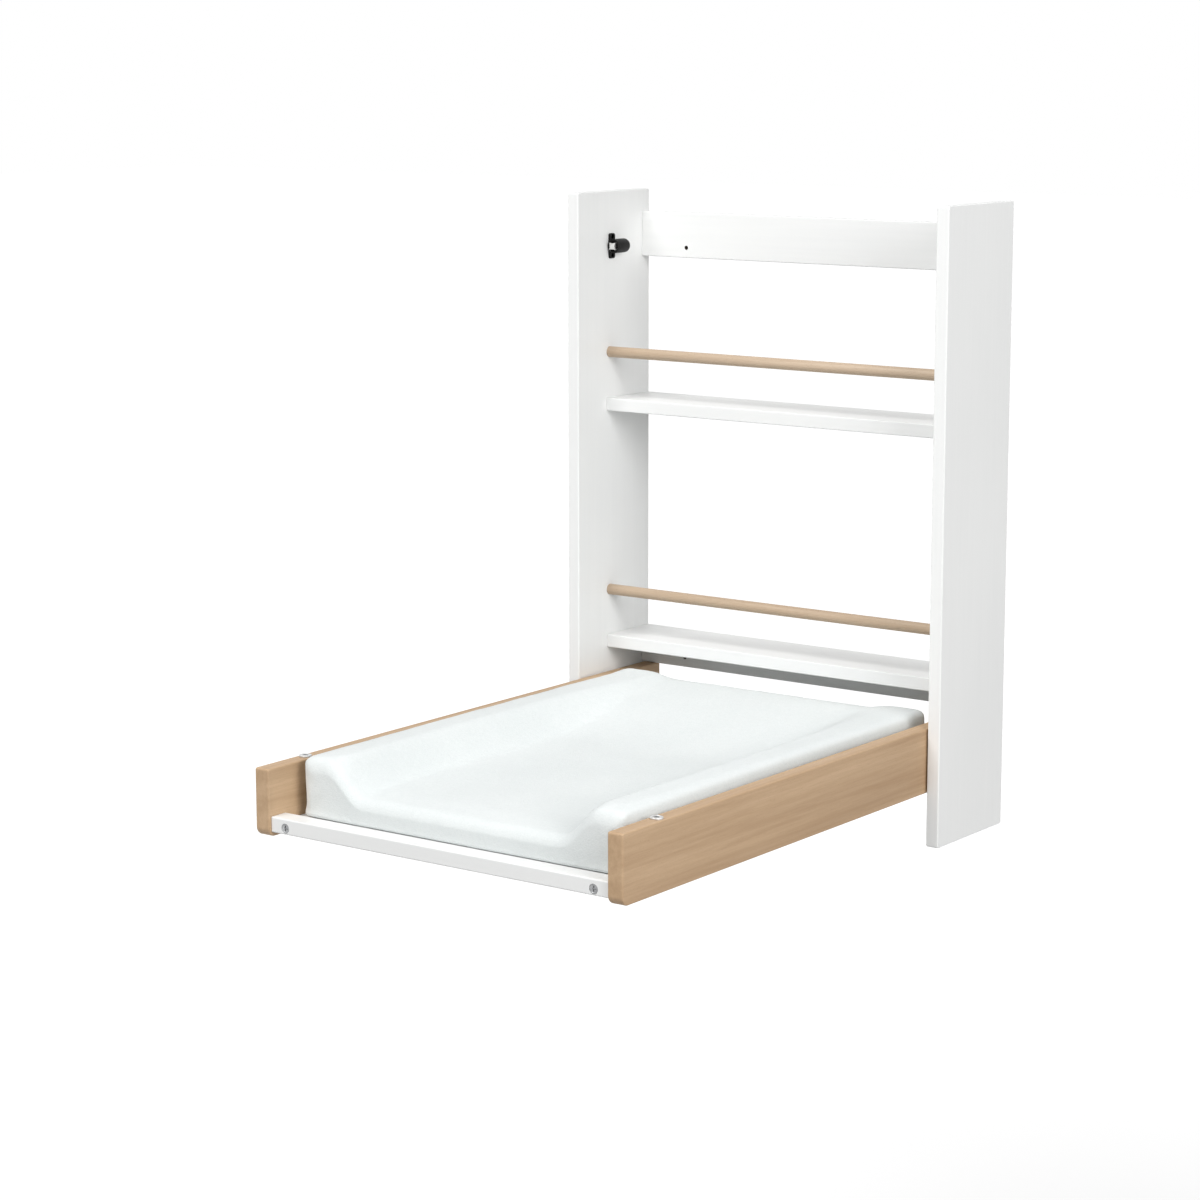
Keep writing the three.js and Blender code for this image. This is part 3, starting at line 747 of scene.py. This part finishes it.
def block_between(low, high):
    low, high = Vector(low), Vector(high)
    return block(high - low, (low + high) / 2)


def extrude_picked(x, y, z):
    bpy.ops.mesh.extrude_region_move(TRANSFORM_OT_translate={"value": (x, y, z)})


def countersunk_screw(head, shank, length, room=0):
    """A screw with its head up at zero height, or with room around it the shape of its hole."""
    screw = cylinder(head / 2 + room, screw_cheek, screw_sides, centre=(0, 0, -screw_cheek / 2))
    cone = (head - shank) / 2
    point = shank
    pick_faces(screw, lambda normal: normal.z < -facing)
    extrude_picked(0, 0, -cone)
    narrow_picked((shank / 2 + room) / (head / 2 + room))
    extrude_picked(0, 0, screw_cheek + cone + point - length)
    extrude_picked(0, 0, -point)
    narrow_picked(screw_point_share)
    bpy.ops.object.mode_set(mode="OBJECT")
    if not room:
        shares = (recess_length_share, recess_width_share, recess_depth_share)
        cross_recess(screw, *(share * head for share in shares), top=0)
    return screw


def along_mouth(one, other):
    """True for an edge that runs round one of the two rims of a barrel's mouth."""
    at_front = max(one.y, other.y) < tiny
    return at_front and abs(one.xz.length - other.xz.length) < tiny


def catch_housing():
    """The left housing, with its barrel's axis along Y and its mouth at the origin."""
    barrel = rod_along_y(barrel_radius, 0, barrel_length, barrel_sides)
    pick_faces(barrel, lambda normal: normal.y > facing)
    bevel_picked(barrel_end_radius, segments=10)
    pick_faces(barrel, lambda normal: normal.y < -facing)
    bpy.ops.mesh.inset(thickness=barrel_radius - mouth_radius)
    extrude_picked(0, mouth_depth, 0)
    bpy.ops.mesh.inset(thickness=mouth_radius - stem_bore_radius)
    extrude_picked(0, stem_bore_depth, 0)
    bpy.ops.object.mode_set(mode="OBJECT")
    pick_edges(barrel, along_mouth)
    bevel_picked(barrel_lip, segments=3)
    ear_face = ear_thickness - barrel_radius
    plate = block_between((-barrel_radius, ear_setback, -ear_height / 2),
                          (ear_face, ear_setback + ear_width, ear_height / 2))
    pick_edges(plate, lambda one, other: abs(one.x - other.x) > tiny)
    bevel_picked(ear_corner, segments=6)
    pick_edges(plate, lambda one, other: min(one.x, other.x) > ear_face - tiny)
    bevel_picked(ear_edge, segments=3)
    combine(plate, "UNION", barrel)
    for level in (1, -1):
        hole = countersunk_screw(*catch_screw_sizes, catch_screw_room)
        seat = (ear_face, ear_setback + ear_width / 2, level * (ear_height / 2 - ear_screw_inset))
        hole.data.transform(Matrix.Translation(seat) @ Matrix.Rotation(quarter_turn, 4, "Y"))
        combine(plate, "DIFFERENCE", hole)
    return plate


def catch_tip():
    """A plunger: a square tip with hollow sides and softened edges, on a round stem."""
    half = tip_size / 2
    tip = block_between((-half, 0, -half), (half, tip_thickness, half))
    pick_edges(tip, lambda one, other: max(one.y, other.y) < tiny)
    bevel_picked(tip_edge, segments=2)
    hollow_radius = (half ** 2 + tip_hollow ** 2) / (2 * tip_hollow)
    reach = half - tip_hollow + hollow_radius
    for side_x, side_z in ((1, 0), (-1, 0), (0, 1), (0, -1)):
        hollow = rod_along_y(hollow_radius, -tip_thickness, 2 * tip_thickness, tip_hollow_sides)
        hollow.data.transform(Matrix.Translation((side_x * reach, 0, side_z * reach)))
        combine(tip, "DIFFERENCE", hollow)
    stem = rod_along_y(stem_radius, tip_thickness / 2, tip_thickness + stem_length, stem_sides)
    combine(tip, "UNION", stem)
    return tip


black_plastic = plastic("black_catch_plastic", plastic_pale, plastic_deep, plastic_specular)
black_steel = metal("blackened_steel", black_steel_pale, black_steel_deep)
bright_tip = metal("plated_tip", plated_pale, plated_deep)
catch_screw_sizes = (catch_screw_head, catch_screw_shank, catch_screw_length)
housing_pattern = catch_housing()
tip_pattern = catch_tip()
catch_screw_pattern = countersunk_screw(*catch_screw_sizes)
for hand, side, turn in zip(hands, (-1, 1), (0, math.pi)):
    low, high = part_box(hand + "_catch_housing")
    wall_face = low[0] if side < 0 else high[0]
    mouth = Vector((wall_face - side * barrel_radius, low[1], (low[2] + high[2]) / 2))
    set_up = Matrix.Translation(mouth) @ Matrix.Rotation(turn, 4, "Y")
    housing = copy_of(housing_pattern, hand + "_catch_barrel", set_up)
    hand_over(housing, black_plastic, "wall_frame", "black_plastic", hand + "_catch_housing")
    tip_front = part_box(hand + "_catch_plunger")[0][1]
    tip = copy_of(tip_pattern, hand + "_catch_tip", Matrix.Translation((mouth.x, tip_front, mouth.z)))
    hand_over(tip, bright_tip, hand + "_plunger", "steel", hand + "_catch_plunger")
    for level in ("upper", "lower"):
        node = hand + "_catch_screw_" + level
        seat = middle(node)
        seat.x = wall_face - side * ear_thickness
        set_in = Matrix.Translation(seat) @ Matrix.Rotation(-side * quarter_turn, 4, "Y")
        screw = copy_of(catch_screw_pattern, hand + "_" + level + "_catch_screw", set_in)
        hand_over(screw, black_steel, "wall_frame", "black_steel", node)
for pattern in (housing_pattern, tip_pattern, catch_screw_pattern):
    bpy.data.objects.remove(pattern)


# Tray pivots
# A shoulder bolt turns in a nylon bush in each tray side and screws into a threaded insert in
# the panel. A nylon washer keeps the two boards apart.
nylon_pale = (0.78, 0.77, 0.74, 1)
nylon_deep = (0.72, 0.71, 0.68, 1)
nylon_specular = 0.4

nylon = plastic("white_nylon", nylon_pale, nylon_deep, nylon_specular)
for hand in hands:
    dress(steel, hand + "_pivot_bolt")
    dress(zinc, hand + "_pivot_insert")
    dress(nylon, hand + "_pivot_washer", hand + "_pivot_bush")


# Tray sides
# Two 22 mm solid beech boards on edge, with their long edges eased and the lower corners rounded,
# under a thin satin varnish. Their grain runs from front to back.
board_pale = (0.590, 0.412, 0.256, 1)
board_deep = (0.425, 0.278, 0.160, 1)
grain_along_y = (0, 0, quarter_turn)

beech_along_board = beech("beech_along_board", grain_along_y, board_pale, board_deep)
dress(beech_along_board, "left_tray_side", "right_tray_side")


# Tray bars and base panel
# Lacquered bars tie the sides at the front and the rear. The thin base panel sits in grooves all
# round and carries the mat.
dress(lacquer_across, "tray_front_bar", "tray_rear_bar", "tray_base_panel")


# Strike discs
# A thin steel disc is screwed down near the front of each tray side's top edge. It meets the
# catch on the panel when the tray is folded up.
disc_sides = 56
disc_edge = 0.45 * millimetre
disc_rim = 1.6 * millimetre
disc_dish = 0.12 * millimetre
strike_screw_head = 7 * millimetre
strike_screw_shank = 3.5 * millimetre
strike_screw_length = 18 * millimetre
strike_screw_room = 0.2 * millimetre

disc_size = span("left_strike_disc")
disc_pattern = cylinder(disc_size.x / 2, disc_size.z, disc_sides, centre=(0, 0, -disc_size.z / 2))
pick_faces(disc_pattern, lambda normal: normal.z > facing)
bevel_picked(disc_edge, segments=4)
pick_faces(disc_pattern, lambda normal: normal.z > level_face)
dish_picked(disc_rim, disc_dish)
strike_screw_sizes = (strike_screw_head, strike_screw_shank, strike_screw_length)
combine(disc_pattern, "DIFFERENCE", countersunk_screw(*strike_screw_sizes, strike_screw_room))
strike_screw_pattern = countersunk_screw(*strike_screw_sizes)
for hand in hands:
    top = middle(hand + "_strike_disc")
    top.z += disc_size.z / 2
    disc = copy_of(disc_pattern, hand + "_strike", Matrix.Translation(top))
    hand_over(disc, steel, "tray", "steel", hand + "_strike_disc")
    screw = copy_of(strike_screw_pattern, hand + "_strike_fixing", Matrix.Translation(top))
    hand_over(screw, zinc, "tray", "zinc", hand + "_strike_screw")
for pattern in (disc_pattern, strike_screw_pattern):
    bpy.data.objects.remove(pattern)


# Changing mat
# A foam mat in a white towelling cover: raised along both sides and at the wall end, low at the
# front. It rests on the base panel; shut, the shelf edges press on it, but this cover keeps its open
# shape.
cover_pale = (0.775, 0.806, 0.803, 1)
cover_deep = (0.722, 0.758, 0.756, 1)
cover_clouds = ((9, 9, 9), 3, 0.5)
cover_pile = ((170, 170, 170), 3, 0.5)
cover_loops_to_metre = 620
cloud_share = 0.45
pile_share = 0.3
loop_shade_share = 0.35
cover_shades = (0.36, 0.66)
cover_roughness = (0.86, 0.97)
pile_height = 0.8
cover_relief = (0.5, 0.6 * millimetre)
cover_specular = 0.15
cover_sheen = 0.2
cover_sheen_roughness = 0.5
cover_voxel = 6 * millimetre
foam_rise = 8.5 * millimetre
hollow_height = 38 * millimetre
crest_edge = 208 * millimetre
crest_foot = 152 * millimetre
wall_end_share = 0.86
wall_end_ramp = 300 * millimetre
side_roll = 5 * millimetre
front_roll = 12 * millimetre
wall_end_roll = 20 * millimetre
front_corner = 12 * millimetre
wall_end_corner = 26 * millimetre
foot_roll_height = 10 * millimetre
foot_roll_depth = 16 * millimetre
flat_foot = 4 * millimetre
soften_rounds = 2
soften_share = 0.5
cover_pressure = 4
cover_swell_limit = 3 * millimetre
last_frame = 20
slack_depth = 1.6 * millimetre
slack_length = 70 * millimetre
slack_detail = 2


def towelling():
    """Small cotton loops with painted shade in the hollows between them, thicker and thinner pile, and
    slow changes of shade.
    """
    group, given, result = start_group("cotton_towelling", surface_inputs, surface_outputs)
    vector, pale, deep = given.outputs[:3]
    clouds = stretched_noise(group, vector, *cover_clouds)
    pile = stretched_noise(group, vector, *cover_pile)
    loops = add_node(group, "ShaderNodeTexVoronoi", feature="SMOOTH_F1")
    loops.inputs["Scale"].default_value = cover_loops_to_metre
    group.links.new(vector, loops.inputs["Vector"])
    hollow = loops.outputs["Distance"]
    # The hollows between the loops get a deeper colour: painted shade between the loops.
    shade = weighted_sum(group, (clouds, cloud_share), (pile, pile_share), (hollow, loop_shade_share))
    colour = blended(group, mapped(group, shade, cover_shades, none_to_all), pale, deep)
    rough = mapped(group, pile, most_noise, cover_roughness)
    height = joined(group, "SUBTRACT", joined(group, "MULTIPLY", pile, pile_height), hollow)
    return end_group(group, result, colour, rough, height)


def inflate(piece, floor_height):
    """Presses the cover out from inside, with its flat foot held, and keeps each point near its start."""
    held = piece.vertex_groups.new(name="held")
    start = [point.co.copy() for point in piece.data.vertices]
    held.add([i for i, place in enumerate(start) if place.z < floor_height + flat_foot], 1, "REPLACE")
    pick_only(piece)
    cloth = piece.modifiers.new("cover", "CLOTH")
    cloth.settings.vertex_group_mass = held.name
    cloth.settings.use_pressure = True
    cloth.settings.uniform_pressure_force = cover_pressure
    cloth.settings.effector_weights.gravity = 0
    cloth.point_cache.frame_start = 1
    cloth.point_cache.frame_end = last_frame
    for step in range(1, last_frame + 1):
        bpy.context.scene.frame_set(step)
    swollen = piece.evaluated_get(bpy.context.evaluated_depsgraph_get())
    moved = [point.co.copy() for point in swollen.data.vertices]
    piece.modifiers.remove(cloth)
    bpy.context.scene.frame_set(1)
    piece.vertex_groups.remove(held)
    for point, before, after in zip(piece.data.vertices, start, moved):
        shift = after - before
        if shift.length > cover_swell_limit:
            shift *= cover_swell_limit / shift.length
        point.co = before + shift


def limited(value, low, high):
    return min(max(value, low), high)


def eased(value, start, end):
    """Rises smoothly from zero at start to one at end."""
    share = limited((value - start) / (end - start), 0, 1)
    return share * share * (3 - 2 * share)


def rolled(distance, radius):
    """How far an edge of that radius falls away at a distance inside it."""
    inward = limited(radius - distance, 0, radius)
    return radius - math.sqrt(radius ** 2 - inward ** 2)


def keep_between(piece, low, high):
    """Presses a piece flat where it stands out of a box with a foot that is rolled under."""
    for point in piece.data.vertices:
        point.co.z = limited(point.co.z, low.z, high.z)
        inset = foot_roll_depth * rolled(point.co.z - low.z, foot_roll_height) / foot_roll_height
        for axis in range(2):
            point.co[axis] = limited(point.co[axis], low[axis] + inset, high[axis] - inset)


def foam_height(x, y):
    """The foam's height above its foot: two side crests and the wall end, with rolled edges."""
    side = eased(abs(x), crest_foot, crest_edge)
    wall_end = wall_end_share * eased(y, mat_high.y - wall_end_ramp, mat_high.y - wall_end_roll)
    share = 1 - (1 - side) * (1 - wall_end)
    top = hollow_height + (mat_high.z - mat_low.z - hollow_height) * share
    rolls = rolled(mat_high.x - abs(x), side_roll) + rolled(y - mat_low.y, front_roll)
    return top - rolls - rolled(mat_high.y - y, wall_end_roll)


mat_low, mat_high = (Vector(corner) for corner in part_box("changing_mat"))
mat_high.z += foam_rise
mat_middle = (mat_low.y + mat_high.y) / 2
cover = block_between(mat_low, mat_high)
cover.name = "mat_cover"
pick_edges(cover, lambda one, other: abs(one.z - other.z) > foam_rise and one.y > mat_middle)
bevel_picked(wall_end_corner, segments=12)
pick_edges(cover, lambda one, other: abs(one.z - other.z) > foam_rise and one.y < mat_middle)
bevel_picked(front_corner, segments=6)
apply_modifier(cover, "REMESH", mode="VOXEL", voxel_size=cover_voxel)
for point in cover.data.vertices:
    share = (point.co.z - mat_low.z) / (mat_high.z - mat_low.z)
    point.co.z = mat_low.z + share * foam_height(point.co.x, point.co.y)
apply_modifier(cover, "SMOOTH", factor=soften_share, iterations=soften_rounds)
inflate(cover, mat_low.z)
slack = bpy.data.textures.new("slack_cover", "CLOUDS")
slack.noise_scale = slack_length
slack.noise_depth = slack_detail
apply_modifier(cover, "DISPLACE", texture=slack, texture_coords="LOCAL", strength=slack_depth)
keep_between(cover, mat_low, mat_high)
apply_modifier(cover, "SUBSURF", levels=1, render_levels=1)
for face in cover.data.polygons:
    face.use_smooth = True
cover_colours = {"Pale": cover_pale, "Deep": cover_deep}
cotton = grouped_material(
    "cotton_towelling", towelling(), grain_along_x, cover_colours, cover_relief,
    Specular_IOR_Level=cover_specular, Sheen_Weight=cover_sheen, Sheen_Roughness=cover_sheen_roughness)
cover.data.materials.clear()
cover.data.materials.append(cotton)
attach(cover, "tray")
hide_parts("changing_mat")
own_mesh(cover)
